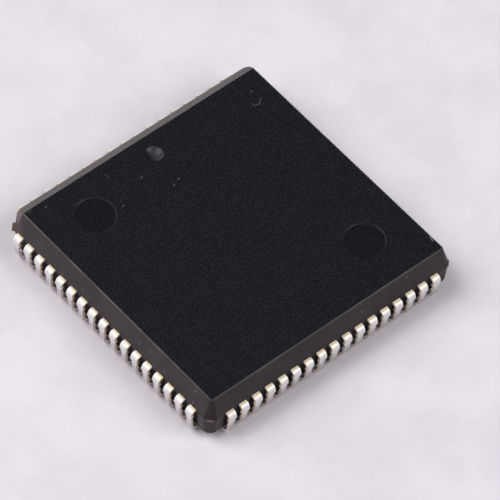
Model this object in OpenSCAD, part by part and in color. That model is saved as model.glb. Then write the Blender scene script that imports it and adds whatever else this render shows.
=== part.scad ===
// Plastic leaded chip carrier with J-leads on four sides, in millimetres.
// The seating plane is z = 0. Pin 1 is in the middle of the +Y side, and the index corner is at -X +Y.

/* [Body] */
// Width of the moulded body at its parting line
body_w = 24.2; // [24:0.05:24.5]
// Height of the top face over the seating plane
total_h = 4.4; // [4.2:0.05:4.8]
// Height of the parting line, at the middle of the lead frame
parting_z = 2.55; // [2.5:0.01:2.7]
// Height of the underside over the seating plane
standoff = 0.85; // [0.6:0.05:1]
// Inset of the top face on each side
top_inset = 0.6; // [0.3:0.05:0.7]
// Inset of the underside on each side
bottom_inset = 0.12; // [0.06:0.02:0.4]
// Radius of three corners at the parting line
corner_r = 0.85; // [0.85:0.05:1.2]
// Reach of the rounded corners past the flat sides, which they meet in a faint crease
corner_blend = 0.01; // [0.005:0.005:0.03]
// Leg of the index chamfer at the parting line
index_chamfer = 1.22; // [1:0.02:1.3]
// Inset of the index chamfer at the top face and the underside
index_inset = 0.55; // [0.3:0.05:0.6]
// Width that the bevel on the pin 1 side takes from the top face
bevel_w = 0.8; // [0.5:0.05:0.9]
// Slope of the bevel
bevel_angle = 45; // [40:1:50]
// Leg of the break along the other edges of the top face
edge_break = 0.08; // [0.03:0.01:0.12]

/* [Marks] */
// Diameter of the pin 1 dimple
dimple_d = 1.5; // [1:0.1:2]
// Depth of the pin 1 dimple
dimple_depth = 0.3; // [0.15:0.05:0.4]
// Distance of the dimple from the body's middle
dimple_y = 8.96; // [7.5:0.02:9.5]
// Diameter of the ejector marks
ejector_d = 3.4; // [2:0.1:4]
// Depth of the ejector marks
ejector_depth = 0.1; // [0.05:0.01:0.2]
// Width of the sloped rim of an ejector mark
ejector_rim = 0.1; // [0.02:0.01:0.2]
// Distance of the ejector marks from the body's middle, in X and in Y
ejector_xy = 7.25; // [6:0.05:7.5]

/* [Leads] */
// Leads on each side, an odd number
lead_count = 17; // [9:2:17]
// Distance between neighbouring leads
pitch = 1.27; // [1.2:0.01:1.28]
// Width over the outsides of opposite leads
lead_span = 25.1; // [25:0.01:25.4]
// Distance between the lines on which opposite leads stand
contact_span = 23.12; // [22.9:0.02:23.3]
// Thickness of the lead frame
lead_t = 0.2; // [0.18:0.01:0.25]
// Width of the lead's shoulder
shoulder_w = 0.68; // [0.66:0.01:0.8]
// Width of the lead's leg and curl
leg_w = 0.48; // [0.35:0.01:0.53]
// Drop from the shoulder's top to the end of its full width
shoulder_drop = 0.7; // [0.6:0.05:0.9]
// Height of the taper from the shoulder's width to the leg's
taper_h = 0.25; // [0.05:0.01:0.3]
// Reach of the dam bar stubs past the shoulder's sides
stub_w = 0.05; // [0.02:0.01:0.08]
// Height of the dam bar stubs
stub_h = 0.18; // [0.1:0.01:0.25]
// Inner radius of the bend at the shoulder
bend_r = 0.2; // [0.1:0.01:0.25]
// Lean of the leg towards the body
leg_lean = 6; // [2:0.5:7]
// Turn of the curl past its lowest point
curl_turn = 65; // [40:5:75]

/* [Grooves] */
// Depth of the groove in the underside, or over a curl's end that reaches into it
groove_depth = 0.3; // [0.2:0.05:0.4]
// Gap between the curl's end and the inner wall of the groove
groove_gap_r = 0.3; // [0.2:0.05:0.5]
// Width of the rim between the groove and the body's side
rim_w = 0.42; // [0.3:0.02:0.5]
// Gap between the last curl and the end of the groove
groove_gap_end = 0.2; // [0.1:0.02:0.4]

/* [Frame] */
// Length of the shoulder's width inside the body
root_len = 0.3; // [0.2:0.05:0.4]
// Width of the lead's neck inside the body
neck_w = 0.5; // [0.4:0.02:0.56]
// Depth in the body at which the fingers start to fan in
fan_depth = 0.8; // [0.6:0.05:1]
// Width of a finger at its end
finger_w = 0.3; // [0.2:0.01:0.34]
// Distance between the ends of neighbouring fingers
finger_pitch = 0.62; // [0.56:0.01:0.66]
// Gap between the die pad and the ends of the fingers
finger_gap = 0.7; // [0.4:0.05:0.8]
// Width of the die pad
pad_w = 11; // [10.4:0.1:11.4]
// Width of the tie bars
tie_w = 0.5; // [0.3:0.02:0.54]
// Length of the slope in a tie bar
tie_slope = 0.6; // [0.4:0.05:0.8]
// Width of the wide end of the tie bar at the index corner
tie_end_w = 0.66; // [0.56:0.02:0.7]
// Length of that wide end inside the body
tie_end_len = 0.3; // [0.2:0.05:0.3]
// Reach of the cut ends past the rounded corners
tie_stub = 0.03; // [0.02:0.01:0.12]
// Reach of the wide end past the index chamfer
index_stub = 0.22; // [0.05:0.01:0.25]
// Shift of the wide end along the index chamfer, towards the left side
index_shift = 0.48; // [0:0.02:0.5]

/* [Die] */
// Width of the die
die_w = 8.6; // [7:0.1:9]
// Thickness of the die
die_t = 0.35; // [0.25:0.01:0.4]
// Thickness of the adhesive under the die
attach_t = 0.03; // [0.02:0.01:0.06]
// Reach of the adhesive past the die
attach_edge = 0.15; // [0.05:0.05:0.3]
// Diameter of the bond wires
wire_d = 0.05; // [0.04:0.005:0.06]
// Height of the wires' loop
loop_h = 0.4; // [0.25:0.05:0.6]
// Distance between neighbouring wires on the die
bond_pitch = 0.45; // [0.3:0.01:0.46]
// Distance of the bonds from the die's edge
bond_inset = 0.2; // [0.12:0.01:0.3]
// Distance of the bonds from the fingers' ends
stitch_inset = 0.25; // [0.15:0.01:0.4]
// Diameter of the bonds
bond_d = 0.12; // [0.1:0.01:0.16]
// Height of the bonds
bond_h = 0.07; // [0.065:0.005:0.1]

/* [Hidden] */
$fn = 48;

// Turn of each side from the +X side
FRONT = 270;
RIGHT = 0;
BACK = 90;
LEFT = 180;

// Steps per millimetre for the curl's radius, so that the curl and the leg meet in one line
GRID = 1000;

diag = sqrt(2);
over = 1;
reach = 2 * lead_span;
body_r = body_w / 2;
top_r = body_r - top_inset;
bottom_r = body_r - bottom_inset;
upper_h = total_h - parting_z;
break_z = total_h - edge_break;

// Axis of a rounded corner, in X and in Y, and the corner's distance from the middle
corner_axis = body_r - corner_r + corner_blend;
corner_c = corner_axis * diag + corner_r;

// Distances of the index chamfer from the middle, square to its face
index_c = (2 * body_r - index_chamfer) / diag;
index_top_c = index_c - index_inset;
index_bottom_c = index_c - index_inset;

// Bevel on the pin 1 side, down to where it meets the drafted side
bevel_y = top_r - bevel_w;
bevel_drop = bevel_w / (1 / tan(bevel_angle) - top_inset / upper_h);
bevel_end = bevel_y + bevel_drop / tan(bevel_angle);

dimple_r = (dimple_d * dimple_d / 4 + dimple_depth * dimple_depth) / (2 * dimple_depth);

// Lead, drawn with its middle on the +X side
frame_top = parting_z + lead_t / 2;
frame_bottom = parting_z - lead_t / 2;
lead_r = lead_span / 2;
bend_out = bend_r + lead_t;
bend_x = lead_r - bend_out;
bend_z = frame_top - bend_out;
curl_x = contact_span / 2;
lean_x = bend_x - curl_x;
curl_fit = (bend_out + lean_x * cos(leg_lean) - bend_z * sin(leg_lean)) / (1 - sin(leg_lean));
curl_out = round(curl_fit * GRID) / GRID;
curl_in = curl_out - lead_t;
leg_len = (bend_z - curl_out - (bend_out - curl_out) * sin(leg_lean)) / cos(leg_lean);
step_z = frame_top - shoulder_drop;
first = -(lead_count - 1) / 2;
last = (lead_count - 1) / 2;

// Groove over the curls' ends
curl_end_x = curl_x - curl_out * sin(curl_turn);
curl_end_z = curl_out - curl_in * cos(curl_turn);
groove_in = curl_end_x - groove_gap_r;
groove_out = bottom_r - rim_w;
groove_z = max(curl_end_z, standoff) + groove_depth;
groove_half = last * pitch + leg_w / 2 + groove_gap_end;

// Lead frame inside the body
finger_x = pad_w / 2 + finger_gap;
fan_x = body_r - fan_depth;
root_x = body_r - root_len;
pad_top = frame_top - die_t - attach_t;
pad_bottom = pad_top - lead_t;
tie_in = pad_w / diag - tie_w;
end_shift = min(index_shift, (tie_end_w + tie_w) / 2 - tie_stub);
tie_fan = pad_w / diag + tie_slope;
die_top = pad_top + attach_t + die_t;
stitch_x = finger_x + stitch_inset;
bond_x = die_w / 2 - bond_inset;

// Solid of one profile across the body, turned about Z
module slab(turn) {
  rotate([90, 0, turn])
    linear_extrude(height = reach, center = true)
      children();
}

// Half width at the lower side of the edge break, on a side that runs from mid to high
function break_at(mid, high) = high + (mid - high) * edge_break / upper_h;

// Outline across two plain sides, both mould halves in one
module side_section() {
  edge = break_at(body_r, top_r);
  polygon([
    [-bottom_r, standoff], [bottom_r, standoff], [body_r, parting_z], [edge, break_z],
    [top_r - edge_break, total_h], [edge_break - top_r, total_h], [-edge, break_z], [-body_r, parting_z]
  ]);
}

// Outline across the pin 1 side, with its bevel
module bevel_section() {
  polygon([
    [-bottom_r, standoff], [bottom_r, standoff], [body_r, parting_z], [bevel_end, total_h - bevel_drop],
    [bevel_y, total_h], [edge_break - top_r, total_h], [-break_at(body_r, top_r), break_z],
    [-body_r, parting_z]
  ]);
}

// Outline across the index corner, at the positive end
module index_section() {
  polygon([
    [-reach, standoff], [index_bottom_c, standoff], [index_c, parting_z],
    [break_at(index_c, index_top_c), break_z], [index_top_c - edge_break, total_h], [-reach, total_h]
  ]);
}

// Radius of a rounded corner where the sides have a given half width
function round_at(half) = half - body_r + corner_r;

// Cuts the sharp corner at +X +Y back to a cone that follows the sides' draft
module corner_round() {
  low = round_at(bottom_r);
  high = round_at(top_r - edge_break);
  translate([corner_axis, corner_axis, 0])
    difference() {
      translate([0, 0, standoff - over])
        cube([2 * corner_r, 2 * corner_r, total_h - standoff + 2 * over]);
      rotate_extrude()
        polygon([
          [0, standoff - 2 * over], [low, standoff - 2 * over], [low, standoff], [corner_r, parting_z],
          [round_at(break_at(body_r, top_r)), break_z], [high, total_h], [high, total_h + 2 * over],
          [0, total_h + 2 * over]
        ]);
    }
}

module blank() {
  difference() {
    intersection() {
      slab(RIGHT) side_section();
      slab(BACK) bevel_section();
      slab(BACK + BACK / 2) index_section();
    }
    for (turn = [FRONT, RIGHT, LEFT])
      rotate([0, 0, turn])
        corner_round();
  }
}

module groove() {
  translate([groove_in, -groove_half, standoff - over])
    cube([groove_out - groove_in, 2 * groove_half, groove_z - standoff + over]);
}

// Cone that cuts an ejector mark into a face at z = 0, from above
module ejector_mark() {
  translate([0, 0, -ejector_depth])
    cylinder(d1 = ejector_d - 2 * ejector_rim, d2 = ejector_d + 2 * ejector_rim, h = 2 * ejector_depth);
}

module marks() {
  translate([0, dimple_y, total_h - dimple_depth + dimple_r])
    sphere(r = dimple_r);
  for (s = [-1, 1])
    translate([s * ejector_xy, -s * ejector_xy, 0]) {
      translate([0, 0, total_h])
        ejector_mark();
      translate([0, 0, standoff])
        mirror([0, 0, 1])
          ejector_mark();
    }
}

module body_form() {
  difference() {
    blank();
    for (turn = [FRONT, RIGHT, BACK, LEFT])
      rotate([0, 0, turn])
        groove();
    marks();
  }
}

// Ring sector from the x axis, turning anticlockwise by sweep, which is 180 at most
module arc(outer, inner, sweep) {
  intersection() {
    difference() {
      circle(r = outer);
      circle(r = inner);
    }
    difference() {
      translate([-2 * outer, 0])
        square([4 * outer, 2 * outer]);
      rotate(sweep)
        translate([-2 * outer, 0])
          square([4 * outer, 2 * outer]);
    }
  }
}

// Side view of the lead outside the body, with x outwards and y up
module lead_profile() {
  translate([root_x, frame_bottom])
    square([bend_x - root_x, lead_t]);
  translate([bend_x, bend_z])
    rotate(-leg_lean) {
      arc(bend_out, bend_r, 90 + leg_lean);
      translate([bend_r, -leg_len])
        square([lead_t, leg_len]);
      translate([bend_out - curl_out, -leg_len])
        mirror([0, 1])
          arc(curl_out, curl_in, 90 - leg_lean + curl_turn);
    }
}

// Front view of the lead: narrow leg, taper, dam bar stubs and wide shoulder
module lead_outline() {
  half_leg = leg_w / 2;
  half_shoulder = shoulder_w / 2;
  half_stub = half_shoulder + stub_w;
  polygon([
    [-half_leg, -over], [half_leg, -over], [half_leg, step_z - taper_h], [half_shoulder, step_z],
    [half_stub, step_z], [half_stub, step_z + stub_h], [half_shoulder, step_z + stub_h],
    [half_shoulder, total_h], [-half_shoulder, total_h], [-half_shoulder, step_z + stub_h],
    [-half_stub, step_z + stub_h], [-half_stub, step_z], [-half_shoulder, step_z],
    [-half_leg, step_z - taper_h]
  ]);
}

module lead_outside() {
  intersection() {
    rotate([90, 0, 0])
      linear_extrude(height = pitch, center = true)
        lead_profile();
    rotate([90, 0, 90])
      linear_extrude(height = reach)
        lead_outline();
  }
}

// Flat finger of lead number k, from the body's edge to its end beside the die pad
module finger(k) {
  translate([0, 0, frame_bottom])
    linear_extrude(height = lead_t)
      polygon([
        [body_r, k * pitch - neck_w / 2], [body_r, k * pitch + neck_w / 2],
        [fan_x, k * pitch + neck_w / 2], [finger_x, k * finger_pitch + finger_w / 2],
        [finger_x, k * finger_pitch - finger_w / 2], [fan_x, k * pitch - neck_w / 2]
      ]);
}

module lead_row(turn) {
  rotate([0, 0, turn])
    for (k = [first : last])
      union() {
        translate([0, k * pitch, 0])
          lead_outside();
        finger(k);
      }
}

// Tie bar along its diagonal: level on the pad, sloped, level to its end at the corner
module tie_bar(turn, end) {
  slope_x = tie_fan + tie_slope;
  rotate([90, 0, turn])
    linear_extrude(height = tie_w, center = true)
      polygon([
        [tie_in, pad_bottom], [tie_fan, pad_bottom], [slope_x, frame_bottom], [end, frame_bottom],
        [end, frame_top], [slope_x, frame_top], [tie_fan, pad_top], [tie_in, pad_top]
      ]);
}

// Wide end of the tie bar at the index corner
module wide_end() {
  rotate([0, 0, BACK + BACK / 2])
    translate([index_c - tie_end_len, end_shift - tie_end_w / 2, frame_bottom])
      cube([tie_end_len + index_stub, tie_end_w, lead_t]);
}

// Arc of a bond wire with its two bonds, from the die to the finger of lead number k
module wire(k) {
  dx = stitch_x - bond_x;
  dy = k * (stitch_at() - bond_pitch);
  chord = sqrt(dx * dx + dy * dy);
  loop_r = (chord * chord / 4 + loop_h * loop_h) / (2 * loop_h);
  half = asin(chord / 2 / loop_r);
  arc_y = k * (bond_pitch + stitch_at()) / 2;
  arc_z = frame_top + bond_h / 2 + loop_h - loop_r;
  translate([bond_x, k * bond_pitch, die_top])
    cylinder(d = bond_d, h = bond_h);
  translate([stitch_x, k * stitch_at(), frame_top])
    cylinder(d = bond_d, h = bond_h);
  translate([(bond_x + stitch_x) / 2, arc_y, arc_z])
    rotate([90, 0, atan2(dy, dx)])
      rotate([0, 0, 90 - half])
        rotate_extrude(angle = 2 * half)
          translate([loop_r, 0])
            circle(d = wire_d);
}

// Distance between neighbouring wires at the fingers, on the fingers' middle lines
function stitch_at() = finger_pitch + (pitch - finger_pitch) * stitch_inset / (fan_x - finger_x);

module wire_row(turn) {
  rotate([0, 0, turn])
    for (k = [first : last])
      union()
        wire(k);
}

module package_body() {
  color("#2b2a30")
    difference() {
      body_form();
      lead_row(FRONT);
      lead_row(RIGHT);
      lead_row(BACK);
      lead_row(LEFT);
      pad_form();
      attach_form();
      die_form();
      wire_row(FRONT);
      wire_row(RIGHT);
      wire_row(BACK);
      wire_row(LEFT);
    }
}

module leads_front() {
  color("#d8d4c8")
    lead_row(FRONT);
}

module leads_right() {
  color("#d8d4c8")
    lead_row(RIGHT);
}

module leads_back() {
  color("#d8d4c8")
    lead_row(BACK);
}

module leads_left() {
  color("#d8d4c8")
    lead_row(LEFT);
}

module pad_form() {
  translate([-pad_w / 2, -pad_w / 2, pad_bottom])
    cube([pad_w, pad_w, lead_t]);
  for (turn = [FRONT, RIGHT, LEFT])
    tie_bar(turn + BACK / 2, corner_c + tie_stub);
  tie_bar(BACK + BACK / 2, index_c);
  wide_end();
}

module die_pad() {
  color("#b8784a")
    pad_form();
}

module attach_form() {
  attach_w = die_w + 2 * attach_edge;
  translate([-attach_w / 2, -attach_w / 2, pad_top])
    cube([attach_w, attach_w, attach_t]);
}

module die_attach() {
  color("#9a9aa2")
    attach_form();
}

module die_form() {
  translate([-die_w / 2, -die_w / 2, pad_top + attach_t])
    cube([die_w, die_w, die_t]);
}

module die() {
  color("#5a6670")
    die_form();
}

module wires_front() {
  color("#d9a93a")
    wire_row(FRONT);
}

module wires_right() {
  color("#d9a93a")
    wire_row(RIGHT);
}

module wires_back() {
  color("#d9a93a")
    wire_row(BACK);
}

module wires_left() {
  color("#d9a93a")
    wire_row(LEFT);
}

package_body();
leads_front();
leads_right();
leads_back();
leads_left();
die_pad();
die_attach();
die();
wires_front();
wires_right();
wires_back();
wires_left();
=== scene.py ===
"""Looks of the leaded chip carrier: a finish for every piece, a floor, soft light and the camera."""

import math

import bpy
from mathutils import Matrix, Vector

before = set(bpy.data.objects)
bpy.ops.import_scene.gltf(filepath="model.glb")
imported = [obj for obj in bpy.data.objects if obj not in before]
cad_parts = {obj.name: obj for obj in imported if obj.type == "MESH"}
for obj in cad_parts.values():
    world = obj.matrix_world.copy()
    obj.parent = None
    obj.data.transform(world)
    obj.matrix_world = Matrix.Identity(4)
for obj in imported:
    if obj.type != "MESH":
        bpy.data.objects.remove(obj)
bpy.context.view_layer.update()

MM = 0.001

# Camera, in millimetres and degrees
CAMERA_AT = (-181.7, -188.2, 346.65)
CAMERA_AIM = (0.745, -1.632, 2.65)
CAMERA_ROLL = 4.93
CAMERA_LENS = 409.6
CAMERA_SENSOR = 36.0

# Softboxes: direction from the chip and surface radiance, then distance and width in metres
KEY_LIGHT = ((-0.45, 0.4, 0.85), 5.0)
FILL_LIGHT = ((0.38, -0.62, 0.68), 3.7)
SOFTBOX_DISTANCE = 0.5
SOFTBOX_WIDTH = 0.34

# Places on the chip, in millimetres
body_points = [vertex.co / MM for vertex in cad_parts["package_body"].data.vertices]
TOP_Z = max(point.z for point in body_points)
BODY_HALF = max(point.x for point in body_points)
PARTING_Z = max(body_points, key=lambda point: point.x).z
TOP_HALF = 11.5
SHOULDER_Z = 1.95
BEND_Z = 2.4
ROW_HALF = 10.6
CORNER_AXIS = 11.26
DIMPLE = (0.0, 8.96)
DIMPLE_RADIUS = 0.75
EJECTORS = ((-7.25, 7.25), (7.25, -7.25))
EJECTOR_RADIUS = 1.7

# y minus x where the index chamfer begins, in millimetres
INDEX_SPAN = 22.0

# Wear on the top face and the sides, in millimetres
HAIR = ((9.13, 8.06), (9.12, 7.83), (9.39, 7.7), (9.66, 7.8), (10.02, 8.07))
HAIR_HALF_WIDTH = 0.06
SCRATCH = ((-4.18, 9.82), (-4.19, 9.26))
SCRATCH_HALF_WIDTH = 0.05
SCUFFS = (((11.42, -10.0), (11.35, -10.25)), ((11.4, -10.19), (11.26, -10.51)))
SCUFF_HALF_WIDTH = 0.07
SPECKS = ((9.85, 9.01), (-5.04, 6.56), (-2.2, 7.8), (-0.07, 5.96), (-0.72, 5.73), (-9.71, 10.1))
SPECK_RADII = (0.04, 0.12)
SIDE_RUBS = (
    (-11.84, -3.57, 3.37), (-11.75, -4.87, 3.62), (-11.89, -6.56, 3.2), (-11.64, -9.85, 3.95),
    (-11.96, -9.97, 2.99), (-11.88, 3.01, 3.24), (7.68, -11.64, 3.95), (3.17, -11.78, 3.54),
)
SIDE_RUB_RADII = (0.03, 0.16)
CORNER_RUB = (-11.0, 10.9, 4.3)
CORNER_RUB_RADII = (0.1, 0.6)

# Soft edges: how far a round mark fades out, and the share of a line or a dot that is full
MARK_FADE = 0.01
LINE_CORE = 0.3
DOT_CORE = 0.4

# Ranges of masks, in millimetres, or without a unit for normals and noises
MID_NOISE = (0.3, 0.7)
LEVEL_NORMAL = (0.9, 0.97)
STEEP_NORMAL = (0.9, 0.6)
FRONT_NORMAL = (-0.5, -0.9)
BEVEL_NORMAL_Y = (0.3, 0.5)
BEVEL_NORMAL_Z = (0.5, 0.6)
MOTTLE_RANGE = (0.55, 0.95)
ETCH_RANGE = (0.35, 0.68)
CORNER_DIAGONAL = (0.5, 0.35)
CORNER_ROUND = (CORNER_AXIS, CORNER_AXIS + 0.15)
INDEX_AWAY = (INDEX_SPAN, INDEX_SPAN - 1.0)
INDEX_WITHIN = (INDEX_SPAN, INDEX_SPAN + 0.5)
# Where the painted shade between the leads lies
BETWEEN_LEADS_ROW = (ROW_HALF + 0.1, ROW_HALF)
BETWEEN_LEADS_Z = (PARTING_Z + 0.02, PARTING_Z - 0.12)
UPPER_HALF_Z = (PARTING_Z, PARTING_Z + 0.1)
# Painted highlight in the dimple: towards +x, mottled by the grain
DIMPLE_LIT_X = (-0.5, 0.15)
DIMPLE_HIGHLIGHT_GRAIN = (0.35, 0.6, 0.4, 1.0)
EDGE_Z = (TOP_Z - 0.08, TOP_Z - 0.05)
EDGE_RIM = (TOP_HALF - 0.3, TOP_HALF - 0.2)
EDGE_PATCHES = (0.38, 0.58, 0.35, 1.0)
# The painted highlight on the edges fades towards the front
EDGE_Y = (-11.0, -3.0, 0.22, 1.0)
TOP_SKIN_Z = (TOP_Z - 0.15, TOP_Z - 0.1)
FILLER_PATCHES = (0.52, 0.62)
SHEARED_NORMAL = (0.75, 0.95)
LEG_Z = (SHOULDER_Z + 0.3, SHOULDER_Z - 1.3)
BEND_TINT_Z = (BEND_Z - 0.15, BEND_Z + 0.1)
EXIT_REACH = (BODY_HALF + 0.24, BODY_HALF + 0.02)
EXIT_Z = (SHOULDER_Z, BEND_Z)
THIN_BELOW_Z = (SHOULDER_Z, SHOULDER_Z - 0.2)
THIN_ABOVE_Z = (BEND_Z, BEND_Z + 0.15)
SHEARED_FOOT_Z = (1.5, 0.5)
FLOOR_PATCHES = (0.35, 0.65)

# Noises, in waves to the millimetre
GRAIN = {"per_mm": 7.0, "detail": 3.0, "roughness": 0.6}
CLOUD = {"per_mm": 0.5, "detail": 3.0}
FILLER_CLOUD = {"per_mm": 0.35}
STREAK = {"per_mm": 9.0, "detail": 3.0}
DENTS = {"per_mm": 1.1}
STAIN = {"per_mm": 3.0, "detail": 3.0}
COPPER_GRAIN = {"per_mm": 12.0}
FLOOR_CLOUD = {"per_mm": 0.12, "detail": 5.0, "roughness": 0.6}

# Moulding compound: linear colours from dark to pale, and shades, each a strength and a colour
SIDE_COLOURS = ((0.0345, 0.0285, 0.0325), (0.047, 0.039, 0.0445))
TOP_COLOURS = ((0.0045, 0.0051, 0.0082), (0.0155, 0.0158, 0.0212))
EJECTOR_COLOURS = ((0.003, 0.0034, 0.0056), (0.0115, 0.0118, 0.0165))
EJECTOR_RIM_COLOUR = (0.018, 0.0182, 0.023)
# Painted shade and painted highlight in the dimple, from its shaded to its lit side
DIMPLE_SHADE_TO_HIGHLIGHT = ((0.009, 0.0092, 0.012), (0.054, 0.055, 0.068))
# Painted warm reflection on the bevel and the index chamfer
SLOPE_REFLECTION_COLOUR = (0.079, 0.061, 0.062)
# Rubbed top edges, partly a painted highlight
EDGE_RUB_AND_HIGHLIGHT_COLOUR = (0.1, 0.096, 0.092)
# Painted shade that darkens the front wall
FRONT_WALL_PAINTED_SHADE = (0.3, (0.004, 0.0035, 0.004))
CORNER_SHADE = (0.6, (0.011, 0.0098, 0.012))
SIDE_RUB_SHADE = (0.75, (0.11, 0.108, 0.115))
CORNER_RUB_SHADE = (0.5, (0.1, 0.09, 0.088))
# Painted shade on the lower half between the leads
BETWEEN_LEADS_PAINTED_SHADE = (0.85, (0.003, 0.003, 0.0045))
FILLER_SHADE = (0.4, (0.08, 0.076, 0.08))
WORN_SHADE = (0.9, (0.085, 0.083, 0.09))
SCUFF_SHADE = (0.8, (0.18, 0.175, 0.185))
MOTTLE_GRAIN = 0.5
# Strengths of the painted reflection on the bevel and on the index chamfer
BEVEL_REFLECTION_STRENGTH = 0.45
CHAMFER_REFLECTION_STRENGTH = 0.9
SCRATCH_STRENGTH = 0.5
FILLER_PER_MM = 1.3
FILLER_RADIUS = 0.09
EPOXY_SPECULAR = 0.2
EPOXY_TINT = (1.0, 0.91, 0.88)
EPOXY_ROUGH = (0.36, 0.46)
DIMPLE_POLISH = 0.12
CLOUD_DEPTH = 0.004
GRAIN_DEPTH = 0.006

# Leads: colours, shades, and how metallic and rough they are
PLATE_COLOURS = ((0.76, 0.75, 0.745), (0.86, 0.85, 0.845))
BARE_COLOURS = ((0.72, 0.56, 0.38), (0.84, 0.68, 0.49))
THIN_COLOURS = ((0.95, 0.82, 0.69), (1.0, 0.9, 0.78))
# Painted shade, darker towards the feet of the legs, stronger on the front and back rows
FRONT_BACK_LEG_PAINTED_SHADE = (0.95, (0.43, 0.41, 0.42))
LEFT_RIGHT_LEG_PAINTED_SHADE = (0.95, (0.56, 0.53, 0.54))
BEND_SHADE = (0.4, (1.0, 0.92, 0.81))
EXIT_SHADE = (0.9, (1.0, 0.81, 0.48))
# Painted shade towards the feet of the sheared sides
SHEARED_FOOT_PAINTED_SHADE = (0.25, (0.7, 0.6, 0.52))
EXIT_METAL = (0.0, 0.8, 1.0, 0.0)
SHEARED_METAL = (0.0, 1.0, 1.0, 0.1)
BEND_METAL = (BEND_Z - 0.3, BEND_Z, 0.45, 0.7)
PLATE_ROUGH = (0.4, 0.54)
BEND_ROUGH = (SHOULDER_Z - 0.3, BEND_Z, 0.0, 0.07)
SHEARED_ROUGH = 0.1
DENT_DEPTH = 0.01
STREAK_DEPTH = 0.002

# Copper alloy of the die pad
COPPER_COLOURS = ((0.13, 0.09, 0.062), (0.25, 0.18, 0.125))
COPPER_METAL = 0.7
COPPER_ROUGH = (0.5, 0.7)
COPPER_DEPTH = 0.004

# Floor, with its half width in metres
FLOOR_HALF = 0.6
FLOOR_COLOURS = ((0.79, 0.745, 0.8), (0.86, 0.81, 0.865))
FLOOR_ROUGH = (0.85, 0.95)
FLOOR_SPECULAR = 0.2

# Studio round the chip: brighter on the window's side near the floor, and dark overhead
WORLD_COLOUR = (0.97, 0.97, 1.0)
WORLD_WINDOW = (-0.64, 0.77, 0.0)
WORLD_TURN = (-0.7, 0.7, 0.2, 1.6)
WORLD_RISE = (0.05, 0.45)
WORLD_OVERHEAD = 0.08

# Sockets found by number, because their names are shared or hidden
SCALE_INPUT = 3
MIX_A = 6
MIX_B = 7
MIX_RESULT = 2


class Graph:
    """A node tree in short calls. An input takes a number, a colour or another node's output."""

    def __init__(self, tree):
        self.tree = tree

    def add(self, kind, **settings):
        node = self.tree.nodes.new(kind)
        for key, value in settings.items():
            setattr(node, key, value)
        return node

    def put(self, socket, value):
        if isinstance(value, bpy.types.NodeSocket):
            self.tree.links.new(value, socket)
        elif socket.type == "RGBA":
            socket.default_value = (*value, 1.0)
        else:
            socket.default_value = value

    def split(self, vector):
        node = self.add("ShaderNodeSeparateXYZ")
        self.put(node.inputs[0], vector)
        return node.outputs[0], node.outputs[1], node.outputs[2]

    def math(self, operation, a, b=0.0):
        node = self.add("ShaderNodeMath", operation=operation)
        self.put(node.inputs[0], a)
        self.put(node.inputs[1], b)
        return node.outputs[0]

    def fold(self, operation, values):
        """All values joined in turn by one operation."""
        result = values[0]
        for value in values[1:]:
            result = self.math(operation, result, value)
        return result

    def total(self, *terms):
        return self.fold("ADD", terms)

    def product(self, *factors):
        return self.fold("MULTIPLY", factors)

    def largest(self, *masks):
        return self.fold("MAXIMUM", masks)

    def vector(self, operation, a, b=(0.0, 0.0, 0.0), scale=1.0):
        node = self.add("ShaderNodeVectorMath", operation=operation)
        self.put(node.inputs[0], a)
        self.put(node.inputs[1], b)
        self.put(node.inputs[SCALE_INPUT], scale)
        return node.outputs["Value" if operation in ("LENGTH", "DOT_PRODUCT") else "Vector"]

    def ramp(self, value, low, high, start=0.0, end=1.0):
        """Smooth step of value: start at low, end at high. A range holds two or all four of them."""
        node = self.add("ShaderNodeMapRange", interpolation_type="SMOOTHSTEP")
        for socket, number in zip(node.inputs, (value, low, high, start, end)):
            self.put(socket, number)
        return node.outputs[0]


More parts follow.
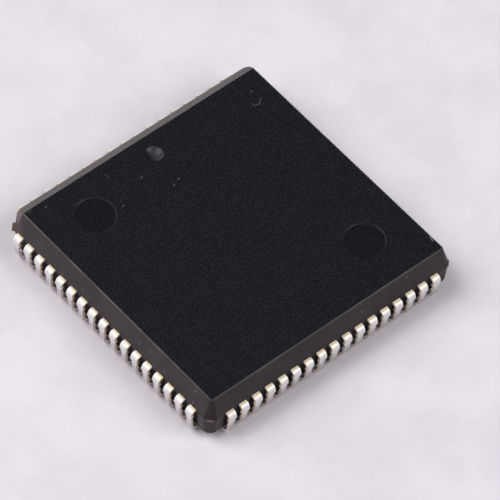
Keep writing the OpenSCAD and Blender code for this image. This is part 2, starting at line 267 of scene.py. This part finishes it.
class Finish(Graph):
    """One procedural material, which knows the place in millimetres and the flat normal."""

    def __init__(self, name):
        self.material = bpy.data.materials.new(name)
        self.material.use_nodes = True
        super().__init__(self.material.node_tree)
        self.tree.nodes.clear()
        self.shader = self.add("ShaderNodeBsdfPrincipled")
        output = self.add("ShaderNodeOutputMaterial")
        self.put(output.inputs["Surface"], self.shader.outputs["BSDF"])
        object_place = self.add("ShaderNodeTexCoord").outputs["Object"]
        self.place = self.vector("SCALE", object_place, scale=1 / MM)
        self.x, self.y, self.z = self.split(self.place)
        normal = self.add("ShaderNodeNewGeometry").outputs["True Normal"]
        self.nx, self.ny, self.nz = self.split(normal)

    def set(self, name, value):
        self.put(self.shader.inputs[name], value)

    def mix(self, factor, a, b):
        node = self.add("ShaderNodeMix", data_type="RGBA")
        self.put(node.inputs[0], factor)
        self.put(node.inputs[MIX_A], a)
        self.put(node.inputs[MIX_B], b)
        return node.outputs[MIX_RESULT]

    def paint(self, base, mask, shade):
        """Base colour with a shade, a strength and a colour, laid over it where the mask is 1."""
        strength, colour = shade
        return self.mix(self.product(mask, strength), base, colour)

    def noise(self, per_mm, detail=2.0, roughness=0.5):
        node = self.add("ShaderNodeTexNoise")
        self.put(node.inputs["Vector"], self.place)
        self.put(node.inputs["Scale"], per_mm)
        self.put(node.inputs["Detail"], detail)
        self.put(node.inputs["Roughness"], roughness)
        return node.outputs[0]

    def dots(self, per_mm, radius):
        """1 in small dots scattered at about per_mm dots to the millimetre, 0 between them."""
        node = self.add("ShaderNodeTexVoronoi")
        self.put(node.inputs["Vector"], self.place)
        self.put(node.inputs["Scale"], per_mm)
        return self.ramp(node.outputs["Distance"], radius, radius * DOT_CORE)

    def bump(self, height, depth_mm, under=None):
        node = self.add("ShaderNodeBump")
        self.put(node.inputs["Distance"], depth_mm * MM)
        self.put(node.inputs["Height"], height)
        if under is not None:
            self.put(node.inputs["Normal"], under)
        return node.outputs["Normal"]

    def off_axis(self, point):
        """Level offset from the upright line through point."""
        flat = self.vector("MULTIPLY", self.place, (1.0, 1.0, 0.0))
        return self.vector("SUBTRACT", flat, (*point, 0.0))

    def near_axis(self, point, inner, outer):
        """1 inside the inner radius of an upright cylinder at point, 0 outside the outer one."""
        return self.ramp(self.vector("LENGTH", self.off_axis(point)), outer, inner)

    def near_spot(self, point, inner, outer):
        """1 inside the inner radius of a ball at point, 0 outside the outer one."""
        offset = self.vector("SUBTRACT", self.place, point)
        return self.ramp(self.vector("LENGTH", offset), outer, inner)

    def near_line(self, start, end, half_width):
        """1 on the upright wall through the line from start to end, fading to 0 at half_width."""
        run = (end[0] - start[0], end[1] - start[1], 0.0)
        offset = self.off_axis(start)
        along = self.vector("DOT_PRODUCT", offset, run)
        along = self.math("DIVIDE", along, run[0] ** 2 + run[1] ** 2)
        along = self.math("MINIMUM", self.math("MAXIMUM", along, 0.0), 1.0)
        foot = self.vector("SCALE", run, scale=along)
        miss = self.vector("LENGTH", self.vector("SUBTRACT", offset, foot))
        return self.ramp(miss, half_width, half_width * LINE_CORE)

    def apply(self, *nodes):
        for name in nodes:
            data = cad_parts[name].data
            data.materials.clear()
            data.materials.append(self.material)


class Epoxy(Finish):
    """Black moulding compound. Each layer takes the colour so far and adds one look to it."""

    def __init__(self):
        super().__init__("epoxy")
        self.grain = self.noise(**GRAIN)
        self.cloud = self.noise(**CLOUD)
        self.etch = self.ramp(self.grain, *ETCH_RANGE)
        self.level = self.ramp(self.math("ABSOLUTE", self.nz), *LEVEL_NORMAL)
        self.steep = self.ramp(self.nz, *STEEP_NORMAL)
        far_x = self.math("ABSOLUTE", self.x)
        far_y = self.math("ABSOLUTE", self.y)
        self.row = self.math("MINIMUM", far_x, far_y)
        self.rim = self.math("MAXIMUM", far_x, far_y)
        self.index = self.math("SUBTRACT", self.y, self.x)
        self.skin = self.ramp(self.z, *TOP_SKIN_Z)
        dimple = self.near_axis(DIMPLE, DIMPLE_RADIUS, DIMPLE_RADIUS + MARK_FADE)
        self.dimple = self.product(dimple, self.ramp(self.z, *UPPER_HALF_Z))

    def faces(self):
        """Etched and speckled on top, plainer and a little warmer on the drafted sides, with painted
        shade on the front wall.
        """
        mottle = self.total(self.cloud, self.product(self.grain, MOTTLE_GRAIN))
        side = self.mix(self.ramp(mottle, *MOTTLE_RANGE), *SIDE_COLOURS)
        # Painted shade: the front wall is darker
        side = self.paint(side, self.ramp(self.ny, *FRONT_NORMAL), FRONT_WALL_PAINTED_SHADE)
        return self.mix(self.level, side, self.mix(self.etch, *TOP_COLOURS))

    def corners(self, colour):
        """The rounded corners are blacker."""
        diagonal = self.ramp(self.math("SUBTRACT", self.rim, self.row), *CORNER_DIAGONAL)
        corner = self.largest(diagonal, self.ramp(self.row, *CORNER_ROUND))
        corner = self.product(corner, self.steep, self.ramp(self.index, *INDEX_AWAY))
        return self.paint(colour, corner, CORNER_SHADE)

    def rubs(self, colour):
        """A few pale rubs on the sides, and one at the index corner."""
        rubs = self.largest(*[self.near_spot(place, *SIDE_RUB_RADII) for place in SIDE_RUBS])
        colour = self.paint(colour, rubs, SIDE_RUB_SHADE)
        return self.paint(colour, self.near_spot(CORNER_RUB, *CORNER_RUB_RADII), CORNER_RUB_SHADE)

    def slope_reflections(self, colour):
        """Painted warm reflection makes the bevel and the index chamfer paler and browner."""
        bevel = self.product(self.ramp(self.nz, *BEVEL_NORMAL_Z), self.ramp(self.ny, *BEVEL_NORMAL_Y))
        chamfer = self.product(self.ramp(self.index, *INDEX_WITHIN), self.steep)
        reflection = self.largest(
            self.product(bevel, BEVEL_REFLECTION_STRENGTH),
            self.product(chamfer, CHAMFER_REFLECTION_STRENGTH),
        )
        return self.mix(reflection, colour, SLOPE_REFLECTION_COLOUR)

    def shade_between_leads(self, colour):
        """Painted shade on the lower half, between the leads."""
        low = self.product(self.ramp(self.row, *BETWEEN_LEADS_ROW), self.ramp(self.z, *BETWEEN_LEADS_Z))
        return self.paint(colour, low, BETWEEN_LEADS_PAINTED_SHADE)

    def marks(self, colour):
        """The ejector marks are darker than the face round them. The dimple has painted shade towards -x
        and a painted highlight, mottled by the grain, towards +x.
        """
        edge = EJECTOR_RADIUS + MARK_FADE
        pins = self.largest(*[self.near_axis(place, EJECTOR_RADIUS, edge) for place in EJECTORS])
        pin_face = self.mix(self.etch, *EJECTOR_COLOURS)
        colour = self.mix(pins, colour, self.mix(self.level, EJECTOR_RIM_COLOUR, pin_face))
        # Painted highlight towards +x in the dimple, painted shade towards -x
        dimple_highlight = self.product(self.ramp(self.x, *DIMPLE_LIT_X), self.ramp(self.grain, *DIMPLE_HIGHLIGHT_GRAIN))
        return self.mix(self.dimple, colour, self.mix(dimple_highlight, *DIMPLE_SHADE_TO_HIGHLIGHT))

    def edges(self, colour):
        """Paler line where the edges of the top face are rubbed, partly a painted highlight, fainter
        towards the front.
        """
        edge = self.product(
            self.ramp(self.z, *EDGE_Z),
            self.ramp(self.level, 1.0, 0.0),
            self.ramp(self.cloud, *EDGE_PATCHES),
            self.ramp(self.y, *EDGE_Y),
            self.ramp(self.rim, *EDGE_RIM),
        )
        return self.mix(edge, colour, EDGE_RUB_AND_HIGHLIGHT_COLOUR)

    def filler(self, colour):
        """Pale filler grains in patches."""
        patches = self.ramp(self.noise(**FILLER_CLOUD), *FILLER_PATCHES)
        grains = self.product(self.dots(FILLER_PER_MM, FILLER_RADIUS), patches)
        return self.paint(colour, grains, FILLER_SHADE)

    def wear(self, colour):
        """A hair-like mark, specks and a scratch on the top face, and scuffs at its right corner."""
        hair = self.largest(*[self.near_line(*ends, HAIR_HALF_WIDTH) for ends in zip(HAIR, HAIR[1:])])
        specks = self.largest(*[self.near_axis(place, *SPECK_RADII) for place in SPECKS])
        scratch = self.product(self.near_line(*SCRATCH, SCRATCH_HALF_WIDTH), SCRATCH_STRENGTH)
        worn = self.product(self.largest(hair, specks, scratch), self.skin, self.level)
        colour = self.paint(colour, worn, WORN_SHADE)
        scuffs = self.largest(*[self.near_line(*ends, SCUFF_HALF_WIDTH) for ends in SCUFFS])
        return self.paint(colour, self.product(scuffs, self.skin), SCUFF_SHADE)


def finish_epoxy():
    """The body: all layers of the moulding compound, and a smoother dimple."""
    f = Epoxy()
    colour = f.faces()
    for layer in (f.corners, f.rubs, f.slope_reflections, f.shade_between_leads, f.marks, f.edges, f.filler, f.wear):
        colour = layer(colour)
    f.set("Base Color", colour)
    rough = f.ramp(f.grain, *MID_NOISE, *EPOXY_ROUGH)
    f.set("Roughness", f.math("SUBTRACT", rough, f.product(f.dimple, DIMPLE_POLISH)))
    f.set("Specular IOR Level", EPOXY_SPECULAR)
    f.set("Specular Tint", EPOXY_TINT)
    f.set("Normal", f.bump(f.grain, GRAIN_DEPTH, under=f.bump(f.cloud, CLOUD_DEPTH)))
    f.apply("package_body")


def finish_leads(along, leg_painted_shade, *rows):
    """Satin tin plating on rows along one axis, with painted shade towards the feet. Its alloy shows on
    the sheared sides and at the exit.
    """
    f = Finish("plated_lead_" + along)
    sideways, outwards = (f.nx, f.y) if along == "x" else (f.ny, f.x)
    cut = f.ramp(f.math("ABSOLUTE", sideways), *SHEARED_NORMAL)
    reach = f.math("ABSOLUTE", outwards)
    exit_zone = f.product(f.ramp(reach, *EXIT_REACH), f.ramp(f.z, *EXIT_Z))
    streak = f.noise(**STREAK)
    dents = f.noise(**DENTS)

    plate = f.mix(dents, *PLATE_COLOURS)
    # Painted shade towards the feet of the legs
    plate = f.paint(plate, f.ramp(f.z, *LEG_Z), leg_painted_shade)
    plate = f.paint(plate, f.ramp(f.z, *BEND_TINT_Z), BEND_SHADE)
    plate = f.paint(plate, exit_zone, EXIT_SHADE)
    thinned = f.largest(f.ramp(f.z, *THIN_BELOW_Z), f.ramp(f.z, *THIN_ABOVE_Z))
    sheared = f.mix(thinned, f.mix(streak, *BARE_COLOURS), f.mix(streak, *THIN_COLOURS))
    # Painted shade towards the feet of the sheared sides
    sheared = f.paint(sheared, f.ramp(f.z, *SHEARED_FOOT_Z), SHEARED_FOOT_PAINTED_SHADE)
    f.set("Base Color", f.mix(cut, plate, sheared))

    metal = f.product(f.ramp(exit_zone, *EXIT_METAL), f.ramp(cut, *SHEARED_METAL))
    f.set("Metallic", f.product(metal, f.ramp(f.z, *BEND_METAL)))
    rough = f.ramp(streak, *MID_NOISE, *PLATE_ROUGH)
    f.set("Roughness", f.total(rough, f.ramp(f.z, *BEND_ROUGH), f.product(cut, SHEARED_ROUGH)))
    f.set("Normal", f.bump(streak, STREAK_DEPTH, under=f.bump(dents, DENT_DEPTH)))
    f.apply(*rows)


def finish_copper():
    """Bare copper alloy of the die pad and the cut ends of its tie bars, dulled by heat."""
    f = Finish("copper")
    stain = f.noise(**STAIN)
    f.set("Base Color", f.mix(f.ramp(stain, *MID_NOISE), *COPPER_COLOURS))
    f.set("Metallic", COPPER_METAL)
    f.set("Roughness", f.ramp(stain, *MID_NOISE, *COPPER_ROUGH))
    f.set("Normal", f.bump(f.noise(**COPPER_GRAIN), COPPER_DEPTH))
    f.apply("die_pad")


def finish_sealed(name, nodes, pattern, colours, metallic, rough, relief=None):
    """Finish of pieces that are sealed in the body. Relief is a noise and its depth in millimetres."""
    f = Finish(name)
    tone = f.noise(**pattern)
    f.set("Base Color", f.mix(tone, *colours))
    f.set("Metallic", metallic)
    f.set("Roughness", f.ramp(tone, *MID_NOISE, *rough))
    if relief:
        grain, depth = relief
        f.set("Normal", f.bump(f.noise(**grain), depth))
    f.apply(*nodes)


def finish_inside():
    """Adhesive, die and bond wires."""
    flakes = {"per_mm": 15.0}
    finish_sealed(
        "adhesive", ("die_attach",), pattern=flakes,
        colours=((0.4, 0.4, 0.41), (0.6, 0.6, 0.62)),
        metallic=0.6, rough=(0.45, 0.65), relief=(flakes, 0.004),
    )
    finish_sealed(
        "silicon", ("die",), pattern={"per_mm": 0.6, "detail": 1.0},
        colours=((0.12, 0.13, 0.17), (0.2, 0.21, 0.24)),
        metallic=0.5, rough=(0.12, 0.22), relief=({"per_mm": 20.0}, 0.001),
    )
    finish_sealed(
        "gold", ("wires_front", "wires_right", "wires_back", "wires_left"),
        pattern={"per_mm": 25.0, "detail": 1.0},
        colours=((0.86, 0.6, 0.2), (0.95, 0.72, 0.32)),
        metallic=1.0, rough=(0.18, 0.3),
    )


def make_floor():
    """Pale floor under the lead curls."""
    half = FLOOR_HALF
    mesh = bpy.data.meshes.new("floor")
    corners = [(-half, -half, 0), (half, -half, 0), (half, half, 0), (-half, half, 0)]
    mesh.from_pydata(corners, [], [(0, 1, 2, 3)])
    floor = bpy.data.objects.new("floor", mesh)
    bpy.context.scene.collection.objects.link(floor)
    f = Finish("floor")
    cloud = f.noise(**FLOOR_CLOUD)
    f.set("Base Color", f.mix(f.ramp(cloud, *FLOOR_PATCHES), *FLOOR_COLOURS))
    f.set("Roughness", f.ramp(cloud, *MID_NOISE, *FLOOR_ROUGH))
    f.set("Specular IOR Level", FLOOR_SPECULAR)
    mesh.materials.append(f.material)


def make_softbox(name, direction, radiance):
    """Square lamp that looks at the chip from a direction, with a given surface radiance."""
    lamp = bpy.data.lights.new(name, "AREA")
    lamp.shape = "SQUARE"
    lamp.size = SOFTBOX_WIDTH
    lamp.energy = radiance * math.pi * SOFTBOX_WIDTH ** 2
    box = bpy.data.objects.new(name, lamp)
    away = Vector(direction).normalized()
    box.location = away * SOFTBOX_DISTANCE
    box.rotation_mode = "QUATERNION"
    box.rotation_quaternion = away.to_track_quat("Z", "Y")
    bpy.context.scene.collection.objects.link(box)


def make_light():
    """Two softboxes, and a studio that is pale near the floor and dark overhead."""
    world = bpy.data.worlds.new("studio")
    bpy.context.scene.world = world
    world.use_nodes = True
    studio = Graph(world.node_tree)
    ray = studio.add("ShaderNodeTexCoord").outputs["Generated"]
    near_floor = studio.ramp(studio.vector("DOT_PRODUCT", ray, WORLD_WINDOW), *WORLD_TURN)
    rise = studio.split(ray)[2]
    background = world.node_tree.nodes["Background"]
    studio.put(background.inputs["Color"], WORLD_COLOUR)
    studio.put(background.inputs["Strength"], studio.ramp(rise, *WORLD_RISE, near_floor, WORLD_OVERHEAD))
    make_softbox("key", *KEY_LIGHT)
    make_softbox("fill", *FILL_LIGHT)


def make_camera():
    """The photo's camera."""
    data = bpy.data.cameras.new("camera")
    data.lens = CAMERA_LENS
    data.sensor_width = CAMERA_SENSOR
    camera = bpy.data.objects.new("camera", data)
    bpy.context.scene.collection.objects.link(camera)
    at = Vector(CAMERA_AT) * MM
    look = Vector(CAMERA_AIM) * MM - at
    level = look.to_track_quat("-Z", "Y").to_matrix().to_4x4()
    roll = Matrix.Rotation(math.radians(CAMERA_ROLL), 4, "Z")
    camera.matrix_world = Matrix.Translation(at) @ level @ roll
    bpy.context.scene.camera = camera


finish_epoxy()
# The front and back rows take the stronger painted shade on their legs
finish_leads("x", FRONT_BACK_LEG_PAINTED_SHADE, "leads_front", "leads_back")
finish_leads("y", LEFT_RIGHT_LEG_PAINTED_SHADE, "leads_right", "leads_left")
finish_copper()
finish_inside()
make_floor()
make_light()
make_camera()

bpy.context.scene.view_settings.view_transform = "Standard"
bpy.context.view_layer.update()
